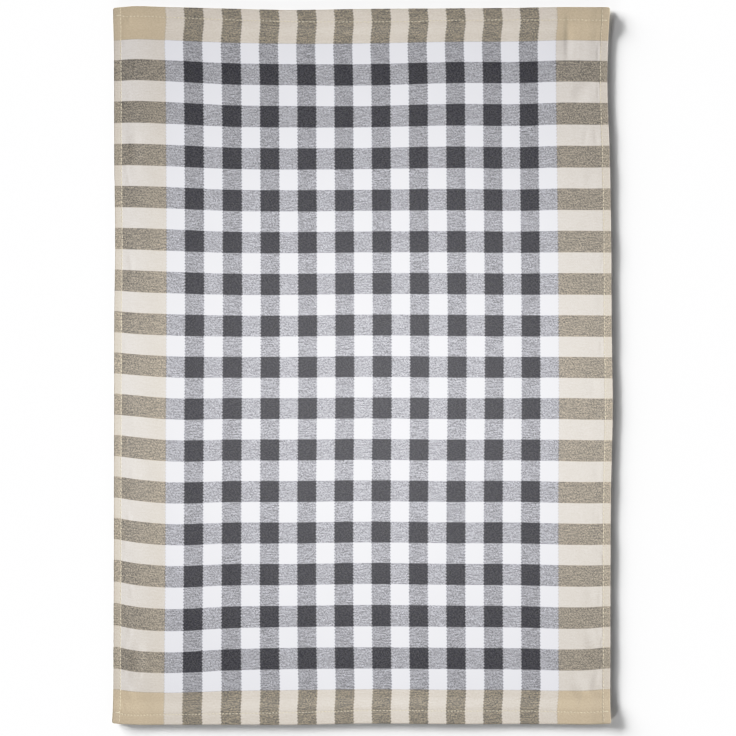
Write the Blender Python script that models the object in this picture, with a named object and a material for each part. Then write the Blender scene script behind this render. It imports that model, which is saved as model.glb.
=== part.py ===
"""Flat woven tea towel: one length of checked cotton with four turned and sewn hems.

The towel lies face up on Z = 0, in metres, with its width along X and its length along Y.
The origin is under the middle of its outline.
"""

from typing import NamedTuple

import bmesh
import bpy
import numpy as np

MM = 0.001

# Finished towel, before its edges wander
HALF_WIDTH = 225.0 * MM
HALF_LENGTH = 325.0 * MM
SHEET = 1.0 * MM
CORNER_RADIUS = 2.4 * MM

# Hems: what each adds to the height of the sheet, and how wide it lies
SIDE_HEM = 7.2 * MM
SIDE_HEM_RISE = 0.7 * MM
END_HEM = 10.6 * MM
END_HEM_RISE = 1.1 * MM
HEM_STEP = 0.8 * MM

# Rounded outer fold: the fold reaches this far in, and its wall keeps these shares of the height
FOLD_REACH = 0.7 * MM
WALL_LOW = 0.25
WALL_HIGH = 0.65

# Cotton in the mean colour of the check
COTTON_COLOUR = (0.45, 0.42, 0.40, 1.0)
COTTON_ROUGHNESS = 0.9

# A point this close to the outer edge of the flat grid lies on it
RIM = 0.01 * MM

# Grid lines beside a long side and beside an end, and how many lie between
SIDE_LINES = (12.0 * MM, 18.0 * MM, 26.0 * MM, 38.0 * MM)
END_LINES = (16.0 * MM, 24.0 * MM, 34.0 * MM)
FIELD_ACROSS = 8
FIELD_ALONG = 26

# The outline is eased over this stretch, so that it has no corners between the sections below
EASING = np.linspace(-12.0, 12.0, 7) * MM


class SideSection(NamedTuple):
    """Shift of both long edges at one place along the towel, in millimetres towards +X."""

    at: float
    left: float
    right: float


class EndSection(NamedTuple):
    """Shift of both short edges at one place across the towel, in millimetres towards +Y."""

    at: float
    bottom: float
    top: float


class Ripple(NamedTuple):
    """A soft ridge where the cloth stands off the surface, in millimetres and degrees."""

    x: float
    y: float
    length: float
    width: float
    lean: float
    lift: float


SIDES = (
    SideSection(at=-325.0, left=-1.6, right=0.2),
    SideSection(at=-308.0, left=-0.7, right=-0.9),
    SideSection(at=-281.0, left=-0.4, right=-0.8),
    SideSection(at=-231.0, left=0.0, right=-0.6),
    SideSection(at=-136.0, left=0.0, right=-0.5),
    SideSection(at=-82.0, left=0.3, right=0.3),
    SideSection(at=-27.0, left=0.3, right=1.7),
    SideSection(at=9.0, left=0.2, right=0.7),
    SideSection(at=59.0, left=0.6, right=0.4),
    SideSection(at=104.0, left=1.2, right=0.2),
    SideSection(at=154.0, left=0.7, right=-0.6),
    SideSection(at=204.0, left=0.3, right=-1.5),
    SideSection(at=262.0, left=0.2, right=-3.4),
    SideSection(at=299.0, left=-0.1, right=-2.4),
    SideSection(at=325.0, left=-0.7, right=-0.8),
)

ENDS = (
    EndSection(at=-225.0, bottom=1.2, top=-0.6),
    EndSection(at=-210.0, bottom=0.4, top=-0.1),
    EndSection(at=-169.0, bottom=0.1, top=-0.5),
    EndSection(at=-128.0, bottom=0.3, top=-1.8),
    EndSection(at=-65.0, bottom=0.0, top=-3.1),
    EndSection(at=-6.0, bottom=1.1, top=-2.2),
    EndSection(at=62.0, bottom=1.0, top=-1.9),
    EndSection(at=102.0, bottom=0.5, top=-1.5),
    EndSection(at=152.0, bottom=0.9, top=-0.8),
    EndSection(at=197.0, bottom=0.4, top=-0.5),
    EndSection(at=225.0, bottom=1.0, top=-0.8),
)

RIPPLES = (
    Ripple(x=184.0, y=294.0, length=52.0, width=9.0, lean=0.0, lift=0.7),
    Ripple(x=205.0, y=255.0, length=40.0, width=9.0, lean=4.0, lift=0.6),
    Ripple(x=203.0, y=118.0, length=46.0, width=9.0, lean=-3.0, lift=0.5),
    Ripple(x=207.0, y=-20.0, length=60.0, width=10.0, lean=3.0, lift=0.8),
    Ripple(x=206.0, y=-205.0, length=44.0, width=9.0, lean=0.0, lift=0.7),
    Ripple(x=207.0, y=-250.0, length=36.0, width=8.0, lean=-8.0, lift=0.9),
    Ripple(x=197.0, y=-292.0, length=34.0, width=10.0, lean=-24.0, lift=0.8),
    Ripple(x=-204.0, y=-268.0, length=48.0, width=10.0, lean=10.0, lift=0.7),
    Ripple(x=-206.0, y=196.0, length=52.0, width=9.0, lean=-4.0, lift=0.6),
)


def clear_scene() -> None:
    """Remove every object, so that the towel stands alone."""
    for obj in list(bpy.data.objects):
        bpy.data.objects.remove(obj, do_unlink=True)


def half_lines(hem: float, beside: tuple[float, ...]) -> list[float]:
    """Distances in from an edge at which the grid has a line: fold, corner, hem step, border."""
    step = (hem - HEM_STEP / 2, hem + HEM_STEP / 2)
    return [0.0, FOLD_REACH, CORNER_RADIUS, *step, *beside]


def stations(half: float, hem: float, beside: tuple[float, ...], between: int) -> list[float]:
    """Places of all grid lines from one edge to the other, close together at the hems."""
    near = half_lines(hem, beside)
    reach = half - near[-1]
    low = [distance - half for distance in near[:-1]]
    field = np.linspace(-reach, reach, between + 1).tolist()
    high = [-place for place in reversed(low)]
    return low + field + high


def read_column(rows: tuple, column: str, place: float) -> float:
    """Shift in one column of a table of sections, eased between them, in metres."""
    places = [row.at * MM for row in rows]
    shifts = [getattr(row, column) * MM for row in rows]
    return float(np.interp(place + EASING, places, shifts).mean())


def round_corner(x: float, y: float) -> tuple[float, float]:
    """Draw the points of a square corner in onto a quarter circle."""
    over_x = abs(x) - (HALF_WIDTH - CORNER_RADIUS)
    over_y = abs(y) - (HALF_LENGTH - CORNER_RADIUS)
    if over_x <= 0.0 or over_y <= 0.0:
        return x, y
    pull = 1.0 - max(over_x, over_y) / float(np.hypot(over_x, over_y))
    return x - np.sign(x) * over_x * pull, y - np.sign(y) * over_y * pull


def outline_shift(x: float, y: float) -> tuple[float, float]:
    """Sideways shift of a point, shared out between the edges on both sides of it."""
    across = (x + HALF_WIDTH) / (2 * HALF_WIDTH)
    along = (y + HALF_LENGTH) / (2 * HALF_LENGTH)
    left = read_column(SIDES, "left", y)
    right = read_column(SIDES, "right", y)
    bottom = read_column(ENDS, "bottom", x)
    top = read_column(ENDS, "top", x)
    return left + (right - left) * across, bottom + (top - bottom) * along


def hem_share(inset: float, hem: float) -> float:
    """1 on a hem, 0 on the cloth beside it, for a point this far in from the edge."""
    return float(np.clip((hem + HEM_STEP / 2 - inset) / HEM_STEP, 0.0, 1.0))


def thickness(x: float, y: float) -> float:
    """Height of the cloth from its underside to its face, with its hems."""
    side = hem_share(HALF_WIDTH - abs(x), SIDE_HEM)
    end = hem_share(HALF_LENGTH - abs(y), END_HEM)
    return SHEET + SIDE_HEM_RISE * side + END_HEM_RISE * end


def ripple_lift(x: float, y: float) -> float:
    """How far the cloth stands off the surface here: the highest of the ripples."""
    highest = 0.0
    for ripple in RIPPLES:
        lean = np.radians(ripple.lean)
        off_x = x / MM - ripple.x
        off_y = y / MM - ripple.y
        along = off_x * np.sin(lean) + off_y * np.cos(lean)
        across = off_x * np.cos(lean) - off_y * np.sin(lean)
        reach = np.hypot(along / (ripple.length / 2), across / ripple.width)
        if reach < 1.0:
            crest = ripple.lift * MM * float(np.cos(reach * np.pi / 2) ** 2)
            highest = max(highest, crest)
    return highest


def on_outline(x: float, y: float) -> bool:
    """True for a point of the flat grid's outer edge."""
    return abs(x) > HALF_WIDTH - RIM or abs(y) > HALF_LENGTH - RIM


def place_vertex(vert: bmesh.types.BMVert, is_face_side: bool) -> None:
    """Move one point of the flat grid to where the underside or the face of the towel lies."""
    x, y = vert.co.x, vert.co.y
    height = thickness(x, y)
    if is_face_side:
        share = WALL_HIGH if on_outline(x, y) else 1.0
    else:
        share = WALL_LOW if on_outline(x, y) else 0.0
    shift_x, shift_y = outline_shift(x, y)
    round_x, round_y = round_corner(x, y)
    z = ripple_lift(x, y) + height * share
    vert.co = (round_x + shift_x, round_y + shift_y, z)


def flat_grid(bm: bmesh.types.BMesh, across: list[float], along: list[float]) -> None:
    """Add a flat grid of four-sided faces with a line at each station."""
    rows = [[bm.verts.new((x, y, 0.0)) for x in across] for y in along]
    for low, high in zip(rows, rows[1:]):
        for i in range(len(across) - 1):
            bm.faces.new((low[i], low[i + 1], high[i + 1], high[i]))


def centre_outline(bm: bmesh.types.BMesh) -> None:
    """Slide the towel so that the middle of its outline stands over the origin."""
    xs = [vert.co.x for vert in bm.verts]
    ys = [vert.co.y for vert in bm.verts]
    middle = ((min(xs) + max(xs)) / 2, (min(ys) + max(ys)) / 2, 0.0)
    bmesh.ops.translate(bm, verts=bm.verts[:], vec=[-place for place in middle])


def build_mesh() -> bpy.types.Mesh:
    """Grow the towel from a flat grid: a face raised off an underside, joined at the outline."""
    bm = bmesh.new()
    across = stations(HALF_WIDTH, SIDE_HEM, SIDE_LINES, FIELD_ACROSS)
    along = stations(HALF_LENGTH, END_HEM, END_LINES, FIELD_ALONG)
    flat_grid(bm, across, along)
    underside = set(bm.verts)
    bmesh.ops.extrude_face_region(bm, geom=bm.faces[:])
    for vert in bm.verts:
        place_vertex(vert, is_face_side=vert not in underside)
    centre_outline(bm)
    bmesh.ops.recalc_face_normals(bm, faces=bm.faces[:])
    mesh = bpy.data.meshes.new("towel")
    bm.to_mesh(mesh)
    bm.free()
    mesh.shade_smooth()
    return mesh


def cotton_material() -> bpy.types.Material:
    """Matt cotton in the mean colour of the check."""
    material = bpy.data.materials.new("checked_cotton")
    material.use_nodes = True
    shader = material.node_tree.nodes["Principled BSDF"]
    shader.inputs["Base Color"].default_value = COTTON_COLOUR
    shader.inputs["Roughness"].default_value = COTTON_ROUGHNESS
    shader.inputs["Metallic"].default_value = 0.0
    return material


def build_towel() -> bpy.types.Object:
    """Make the towel object and link it into the scene."""
    mesh = build_mesh()
    mesh.materials.append(cotton_material())
    towel = bpy.data.objects.new("towel", mesh)
    bpy.context.scene.collection.objects.link(towel)
    return towel


def main() -> None:
    """Clear the scene and build the towel."""
    clear_scene()
    build_towel()


main()
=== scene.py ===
"""Checked cotton tea towel laid flat: its cloth, its sewing, and the studio that shows them.

The towel lies face up on Z = 0, in metres, with its width along X and its length along Y.
The tables hold millimetres on the towel itself.
"""

import logging
import math
from dataclasses import dataclass, field
from enum import Enum
from typing import NamedTuple

import bpy
import numpy as np
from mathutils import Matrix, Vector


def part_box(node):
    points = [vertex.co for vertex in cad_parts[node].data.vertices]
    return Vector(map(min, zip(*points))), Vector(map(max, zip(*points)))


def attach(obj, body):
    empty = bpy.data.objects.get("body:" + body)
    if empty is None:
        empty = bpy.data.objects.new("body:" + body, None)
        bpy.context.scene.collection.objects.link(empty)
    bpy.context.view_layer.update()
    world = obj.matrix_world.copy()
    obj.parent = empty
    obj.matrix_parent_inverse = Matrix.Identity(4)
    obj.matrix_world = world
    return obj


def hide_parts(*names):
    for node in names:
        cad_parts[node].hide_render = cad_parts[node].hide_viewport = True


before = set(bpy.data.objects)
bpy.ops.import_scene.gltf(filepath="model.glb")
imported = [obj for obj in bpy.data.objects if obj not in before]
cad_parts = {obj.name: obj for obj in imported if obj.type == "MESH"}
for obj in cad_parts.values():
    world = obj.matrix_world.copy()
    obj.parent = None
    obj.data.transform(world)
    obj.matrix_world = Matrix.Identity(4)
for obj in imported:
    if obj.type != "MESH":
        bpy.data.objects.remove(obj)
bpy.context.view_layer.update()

log = logging.getLogger("tea_towel")

MM = 0.001
TOWEL_NODE = "towel"
BODY = "root"

# Finished towel before its edges wander, and the sheet it is made of
HALF_WIDTH = 225.0
HALF_LENGTH = 325.0
SHEET = 0.8
CORNER_RADIUS = 2.4
FOLD_REACH = 0.8

# Extra lines of the mesh: this far before a seam, and this far to each side of a hem's step
SEAM_GAP = 0.5
STEP_GAP = 0.08
QUAD_CORNERS = 4

# Points along each side of the outline when its box is found, and a length no corner is under
RIM_POINTS = 401
TINY = 1e-9

# Check: how far it reaches from the middle, and the width of one band, each way
WARP_REACH = 177.5
WARP_BANDS = 21
WEFT_REACH = 293.85
WEFT_BANDS = 31

# Share of the warp yarn in what shows on each side of the cloth, and how much more of it shows
# on the turned selvedge
FACE_COVER = 0.52
UNDER_COVER = 0.48
TURNED_GAIN = 0.12
LEFT_TURNED_GAIN = 0.2

# How far the charcoal bands spread into the white ones, in turns of the wave that marks them
DARK_SPREAD = 0.028
BAND_SHARPNESS = 18.0

# How fast the check gives way to the border, for each millimetre
BORDER_SHARPNESS = 2.0

# How much more of the dyed yarns than of the white one shows
DARK_HEFT = 0.022
TAN_HEFT = 0.03

# Roughness of the yarn's broad unevenness, fineness of its fibres, how far the stretches of one
# row may start from those of the next, how sharply a rib turns over, and how much relief shows
GRAIN_ROUGHNESS = 0.65
FIBRE_SCALE = 2.6
STAGGER = 7.0
TWILL_SHARPNESS = 0.9
BUMP_STRENGTH = 0.6

# Film: the light that comes out pure white, where the straight part ends, and how light turns
# into tone
FILM_WHITE = 1.3
FILM_STRAIGHT = 0.79
FILM_CURVE = ((0.4, 0.4), (0.8, 0.8), (1.09, 0.947))


class Side(Enum):
    """The two sides of the cloth."""

    FACE = 1.0
    UNDERSIDE = -1.0


class Edge(Enum):
    """The four sewn edges."""

    LEFT = "left"
    RIGHT = "right"
    BOTTOM = "bottom"
    TOP = "top"


class Yarn(Enum):
    """Dyed yarns, as the share of red, green and blue light they send back."""

    WHITE = (0.813, 0.814, 0.86)
    CHARCOAL = (0.028, 0.027, 0.04)
    WARP_TAN = (0.63, 0.55, 0.425)
    WEFT_TAN = (0.605, 0.505, 0.345)
    CREAM = (0.8, 0.73, 0.57)


class WarpDrift(NamedTuple):
    """Sideways shift of the warp at one place along the towel, towards +X."""

    at: float
    left_edge: float
    left_border: float
    left_field: float
    middle: float
    right_field: float
    right_border: float
    right_edge: float


class WeftBow(NamedTuple):
    """Lengthwise shift of one weft line at places across the towel, towards +Y."""

    at: float
    left_hem: float
    left_seam: float
    left_border: float
    left_field: float
    left_middle: float
    middle: float
    right_field: float
    right_side: float
    right_border: float
    right_seam: float
    right_hem: float


class CoverPoint(NamedTuple):
    """Share of the warp in what shows in the side borders, at one place along the towel."""

    at: float
    cover: float


class SeamPoint(NamedTuple):
    """How far in from an end its seam runs, at one place across the towel."""

    at: float
    inset: float


class Crease(NamedTuple):
    """A soft ridge, or a trough if its lift is negative, leaning so many degrees from +Y."""

    x: float
    y: float
    length: float
    width: float
    lean: float
    lift: float


DRIFT_PLACES = (-225.0, -169.0, -93.0, 8.0, 110.0, 169.0, 225.0)
WARP_DRIFT = (
    WarpDrift(-325.0, -1.6, -1.8, 0.6, 0.6, -0.1, -0.9, 0.2),
    WarpDrift(-313.0, -0.9, -2.2, 0.2, 0.2, -0.6, -1.3, -0.7),
    WarpDrift(-299.0, -0.5, -1.9, 0.9, 1.0, 0.3, 0.0, -0.8),
    WarpDrift(-265.0, -0.3, -1.7, 0.5, 0.6, 0.3, 0.1, -0.7),
    WarpDrift(-190.0, 0.0, -0.9, 0.4, 0.0, 0.0, 0.0, -0.6),
    WarpDrift(-115.0, 0.1, -0.6, 0.5, 0.1, 0.2, -0.1, -0.2),
    WarpDrift(-39.0, 0.3, -0.3, 1.0, 0.9, 0.9, 0.4, 1.4),
    WarpDrift(36.0, 0.4, 0.2, 1.2, 1.0, 1.1, 0.1, 0.5),
    WarpDrift(111.0, 1.2, 0.2, 1.1, 0.7, 0.5, -0.4, 0.1),
    WarpDrift(187.0, 0.4, -0.1, 0.8, 0.2, -0.2, -1.3, -1.2),
    WarpDrift(263.0, 0.2, -0.7, 0.3, -0.2, -0.7, -2.0, -3.4),
    WarpDrift(299.0, -0.1, -1.2, -0.2, -0.7, -1.2, -1.9, -2.4),
    WarpDrift(313.0, -0.4, 0.0, 0.9, 0.5, 0.2, -0.7, -1.6),
    WarpDrift(325.0, -0.7, -1.0, -0.1, -0.5, -0.9, -1.6, -0.8),
)

BOW_PLACES = (-222.0, -207.0, -178.0, -118.0, -65.0, 0.0, 86.0, 143.0, 186.0, 206.0, 221.0)
WEFT_BOW = (
    WeftBow(-325.0, 1.2, 0.3, 0.1, 0.2, 0.0, 1.1, 0.6, 0.7, 0.5, 0.4, 1.0),
    WeftBow(-265.0, 1.3, -1.6, -3.4, -0.7, 0.5, 1.0, 0.5, 0.1, -0.9, -0.4, 1.2),
    WeftBow(-190.0, 4.2, 1.4, -1.2, 0.5, 0.6, 1.6, 0.8, 0.5, -0.6, -0.8, -0.3),
    WeftBow(-114.0, 4.0, 1.7, -1.1, -0.2, -0.1, 0.5, -0.1, 0.0, -1.0, -1.2, -1.0),
    WeftBow(-38.0, 3.1, 1.7, -0.9, -0.9, -0.9, -0.4, -1.0, -1.0, -1.0, -1.4, -1.4),
    WeftBow(38.0, 1.8, 0.4, -0.9, -2.1, -2.1, -1.2, -1.6, -2.0, -2.0, -2.1, -2.3),
    WeftBow(114.0, 1.3, 1.0, 0.0, -2.3, -2.5, -1.9, -1.7, -2.1, -1.5, -1.6, -1.7),
    WeftBow(190.0, 1.3, 1.4, 0.6, -2.1, -2.6, -2.3, -1.1, -1.7, -0.5, -0.7, -0.5),
    WeftBow(265.0, 1.5, 2.4, 1.5, -1.5, -2.2, -2.4, -0.2, -0.2, 1.2, 1.0, 0.6),
    WeftBow(325.0, -1.2, 0.1, -0.4, -2.0, -3.1, -2.2, -1.7, -1.2, -0.5, -0.6, -0.7),
)

BORDER_COVER = (
    CoverPoint(at=-325.0, cover=0.52),
    CoverPoint(at=-150.0, cover=0.54),
    CoverPoint(at=0.0, cover=0.55),
    CoverPoint(at=150.0, cover=0.51),
    CoverPoint(at=325.0, cover=0.43),
)

TOP_SEAM = (
    SeamPoint(at=-225.0, inset=7.6),
    SeamPoint(at=-218.5, inset=7.6),
    SeamPoint(at=-214.5, inset=9.6),
    SeamPoint(at=-60.0, inset=11.0),
    SeamPoint(at=-5.0, inset=12.0),
    SeamPoint(at=45.0, inset=12.1),
    SeamPoint(at=75.0, inset=11.3),
    SeamPoint(at=140.0, inset=11.3),
    SeamPoint(at=165.0, inset=12.1),
    SeamPoint(at=225.0, inset=12.5),
)
BOTTOM_SEAM = (
    SeamPoint(at=-225.0, inset=10.5),
    SeamPoint(at=-218.5, inset=10.3),
    SeamPoint(at=-214.5, inset=8.7),
    SeamPoint(at=-177.0, inset=10.0),
    SeamPoint(at=-117.0, inset=10.3),
    SeamPoint(at=-57.0, inset=11.3),
    SeamPoint(at=0.0, inset=11.9),
    SeamPoint(at=45.0, inset=12.1),
    SeamPoint(at=160.0, inset=12.2),
    SeamPoint(at=200.0, inset=11.2),
    SeamPoint(at=225.0, inset=11.2),
)

# Broad soft ridges where the cloth stands off the surface
RIPPLES = (
    Crease(x=184.0, y=294.0, length=52.0, width=9.0, lean=0.0, lift=0.7),
    Crease(x=205.0, y=255.0, length=40.0, width=9.0, lean=4.0, lift=0.6),
    Crease(x=203.0, y=118.0, length=46.0, width=9.0, lean=-3.0, lift=0.5),
    Crease(x=207.0, y=-20.0, length=60.0, width=10.0, lean=3.0, lift=0.8),
    Crease(x=206.0, y=-205.0, length=44.0, width=9.0, lean=0.0, lift=0.7),
    Crease(x=207.0, y=-250.0, length=36.0, width=8.0, lean=-8.0, lift=0.9),
    Crease(x=197.0, y=-292.0, length=34.0, width=10.0, lean=-24.0, lift=0.8),
    Crease(x=-204.0, y=-268.0, length=48.0, width=10.0, lean=10.0, lift=0.7),
    Crease(x=-206.0, y=196.0, length=52.0, width=9.0, lean=-4.0, lift=0.6),
)

# Narrow creases pressed into the cloth beside the hems and at the corners
CREASES = (
    Crease(x=184.9, y=294.0, length=76.0, width=2.6, lean=0.0, lift=0.8),
    Crease(x=187.3, y=294.0, length=76.0, width=4.2, lean=0.0, lift=0.72),
    Crease(x=190.9, y=294.0, length=76.0, width=6.5, lean=0.0, lift=0.62),
    Crease(x=196.8, y=294.0, length=76.0, width=9.5, lean=0.0, lift=0.35),
    Crease(x=213.3, y=281.0, length=24.0, width=2.6, lean=0.0, lift=0.5),
    Crease(x=219.0, y=321.5, length=10.0, width=1.4, lean=-50.0, lift=0.4),
    Crease(x=197.0, y=246.0, length=28.0, width=10.0, lean=5.0, lift=1.1),
    Crease(x=213.3, y=246.0, length=22.0, width=2.4, lean=-4.0, lift=0.4),
    Crease(x=202.0, y=207.0, length=22.0, width=3.5, lean=8.0, lift=0.4),
    Crease(x=211.0, y=206.0, length=22.0, width=3.0, lean=-8.0, lift=0.4),
    Crease(x=206.5, y=169.0, length=30.0, width=8.0, lean=0.0, lift=0.7),
    Crease(x=207.5, y=131.0, length=22.0, width=2.4, lean=-20.0, lift=0.45),
    Crease(x=217.0, y=93.0, length=24.0, width=2.2, lean=6.0, lift=0.45),
    Crease(x=215.5, y=54.0, length=30.0, width=6.0, lean=0.0, lift=0.5),
    Crease(x=216.0, y=16.0, length=26.0, width=2.6, lean=0.0, lift=0.45),
    Crease(x=210.0, y=-21.0, length=30.0, width=6.0, lean=3.0, lift=0.6),
    Crease(x=201.0, y=-60.0, length=24.0, width=6.0, lean=-6.0, lift=0.4),
    Crease(x=212.0, y=-96.0, length=28.0, width=5.0, lean=0.0, lift=0.5),
    Crease(x=217.8, y=-96.0, length=20.0, width=2.0, lean=4.0, lift=0.4),
    Crease(x=210.5, y=-134.0, length=22.0, width=2.4, lean=8.0, lift=0.4),
    Crease(x=213.8, y=-135.0, length=20.0, width=2.2, lean=-6.0, lift=0.35),
    Crease(x=217.2, y=-172.0, length=22.0, width=2.0, lean=-8.0, lift=0.45),
    Crease(x=214.5, y=-210.0, length=22.0, width=2.4, lean=6.0, lift=0.4),
    Crease(x=216.8, y=-248.5, length=21.0, width=1.7, lean=8.0, lift=0.6),
    Crease(x=213.0, y=-246.0, length=26.0, width=8.0, lean=10.0, lift=0.4),
    Crease(x=211.0, y=-285.0, length=28.0, width=5.0, lean=20.0, lift=0.9),
    Crease(x=197.5, y=-303.5, length=22.0, width=2.4, lean=16.0, lift=0.35),
    Crease(x=218.9, y=-321.3, length=13.0, width=1.3, lean=58.0, lift=0.4),
    Crease(x=-206.0, y=268.0, length=20.0, width=2.4, lean=4.0, lift=0.3),
    Crease(x=-209.0, y=92.0, length=22.0, width=4.0, lean=-4.0, lift=0.25),
    Crease(x=-200.0, y=-276.0, length=22.0, width=2.6, lean=14.0, lift=0.3),
    Crease(x=-210.0, y=-239.0, length=20.0, width=4.0, lean=6.0, lift=0.25),
)


def curve_weights(known: np.ndarray, where: np.ndarray) -> np.ndarray:
    """Weights that read a smooth curve through known places.

    Args:
        known: The places at which the curve's values are known, rising.
        where: The places at which it is read.

    Returns:
        One row of weights for each place read, one column for each place known.
    """
    unit = np.eye(len(known))
    slopes = np.gradient(unit, known, axis=0)
    low = np.clip(np.searchsorted(known, where) - 1, 0, len(known) - 2)
    step = (known[low + 1] - known[low])[:, None]
    share = np.clip((where - known[low])[:, None] / step, 0.0, 1.0)
    rise = share * share * (3.0 - 2.0 * share)
    leaving = slopes[low] * share * (1.0 - share) ** 2
    arriving = slopes[low + 1] * share * share * (1.0 - share)
    return unit[low] * (1.0 - rise) + unit[low + 1] * rise + step * (leaving - arriving)


def read_table(rows: tuple, places: tuple, across: np.ndarray, along: np.ndarray) -> np.ndarray:
    """Reads a table of shifts smoothly both ways.

    Args:
        rows: The table, each row starting with its place along the towel.
        places: The place across the towel of each other column.
        across: The places across at which it is read.
        along: The places along at which it is read, as many as across.

    Returns:
        The shift at each place.
    """
    table = np.array(rows)
    down = curve_weights(table[:, 0], along)
    sideways = curve_weights(np.array(places), across)
    return np.einsum("pi,ij,pj->p", down, table[:, 1:], sideways)


def ease(share: np.ndarray) -> np.ndarray:
    """Smooth step from 0 to 1 as share goes from 0 to 1."""
    held = np.clip(share, 0.0, 1.0)
    return held * held * (3.0 - 2.0 * held)


def growing_lines(start: float, stop: float, first: float, growth: float) -> list[float]:
    """Places from start to stop whose spacing grows.

    Args:
        start: The first place.
        stop: The place that none passes.
        first: The first spacing.
        growth: The ratio of each spacing to the one before.

    Returns:
        The places, start among them.
    """
    places = [start]
    while places[-1] + first < stop:
        places.append(places[-1] + first)
        first *= growth
    return places


def hem_lines(width: float, seam: float, count: int, beside: float) -> list[float]:
    """Says where the mesh has a line across a hem.

    Args:
        width: How wide the hem is.
        seam: How far in its seam runs.
        count: How many lines lie between the fold and the seam.
        beside: How far in one more line lies, between the seam and the hem's step.

    Returns:
        The distances in from the edge.
    """
    flat = np.linspace(FOLD_REACH, seam - SEAM_GAP, count).tolist()
    return [*flat, seam, beside, width - STEP_GAP, width + STEP_GAP]


class Spot(NamedTuple):
    """Places on the cloth: where they lie, and what they are in the flat cloth."""

    x: np.ndarray
    y: np.ndarray
    z: np.ndarray
    warp_place: np.ndarray
    weft_place: np.ndarray


@dataclass(frozen=True)
class SideHem:
    """Long edge: the firm selvedge turned once onto the face and sewn along its inner edge."""

    width: float = 7.2
    left_layer: float = 0.1
    right_layer: float = 0.17
    stand_off: float = 0.5
    left_slope: float = 26.0
    right_slope: float = 11.0
    brink: float = 0.4
    brink_drop: float = 0.85
    seam: float = 6.6
    line_count: int = 6

    def lines(self) -> list[float]:
        """Distances in from the edge at which the mesh has a line."""
        return hem_lines(self.width, self.seam, self.line_count, self.width - self.brink)

    def rise(self, across: np.ndarray) -> np.ndarray:
        """How much higher the turned strip lies than the cloth inside it.

        Args:
            across: Places across the flat grid.

        Returns:
            The height at each place, 0 inside the strip, with a rounded brink between.
        """
        inset = HALF_WIDTH - np.abs(across)
        brink = np.clip((inset - self.width + self.brink) / self.brink, 0.0, 1.0)
        rounded = np.sqrt(1.0 - self.brink_drop * brink * brink)
        layer = np.where(across < 0.0, self.left_layer, self.right_layer)
        return layer * np.where(inset > self.width, 0.0, rounded)

    def stand(self, across: np.ndarray) -> np.ndarray:
        """How far the sewing draws the hem up off the surface, with the cloth beside it.

        Args:
            across: Places across the flat grid.

        Returns:
            The height at each place, which falls off more gently at the left.
        """
        inset = HALF_WIDTH - np.abs(across)
        slope = np.where(across < 0.0, self.left_slope, self.right_slope)
        return self.stand_off * (1.0 - ease((inset - self.width) / slope))


@dataclass(frozen=True)
class EndHem:
    """Short edge: turned under twice and sewn through, so that its step is on the underside."""

    width: float = 11.3
    layers: float = 1.05
    slope: float = 13.0
    seam: float = 10.0
    line_count: int = 9

    def lines(self) -> list[float]:
        """Distances in from the edge at which the mesh has a line."""
        return hem_lines(self.width, self.seam, self.line_count, self.seam + SEAM_GAP)

    def is_under(self, inset: np.ndarray) -> np.ndarray:
        """1 where the turned layers fill the space under the top one."""
        return (inset < self.width).astype(float)

    def stand(self, inset: np.ndarray) -> np.ndarray:
        """How far the top layer stands off the surface, sloping down past the turned layers."""
        return self.layers * (1.0 - ease((inset - self.width) / self.slope))


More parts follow.
